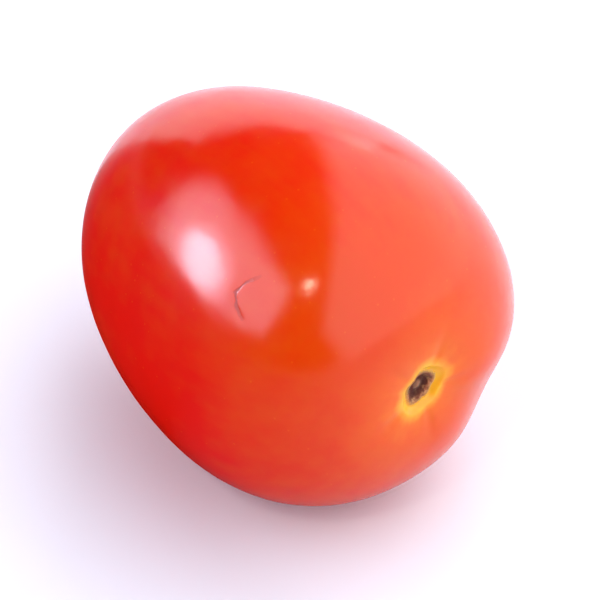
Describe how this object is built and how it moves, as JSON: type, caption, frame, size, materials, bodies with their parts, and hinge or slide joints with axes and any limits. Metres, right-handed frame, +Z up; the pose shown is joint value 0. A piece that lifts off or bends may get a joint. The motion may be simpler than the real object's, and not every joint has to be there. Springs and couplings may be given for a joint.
{
  "type": "siriguela tomato",
  "caption": "Small plum-shaped red tomato with a bare stem scar, lying on its side on a small flat spot.",
  "frame": {"origin": "middle of the small flat spot that the fruit rests on", "axes": "+X along the core line towards the stem scar, +Z up from the surface"},
  "size_m": [0.0368, 0.0289, 0.0288],
  "materials": {
    "skin": "glossy ripe red skin, with a golden ring round the brown corky stem scar"
  },
  "bodies": {
    "root": {"tomato": "skin"}
  },
  "joints": []
}
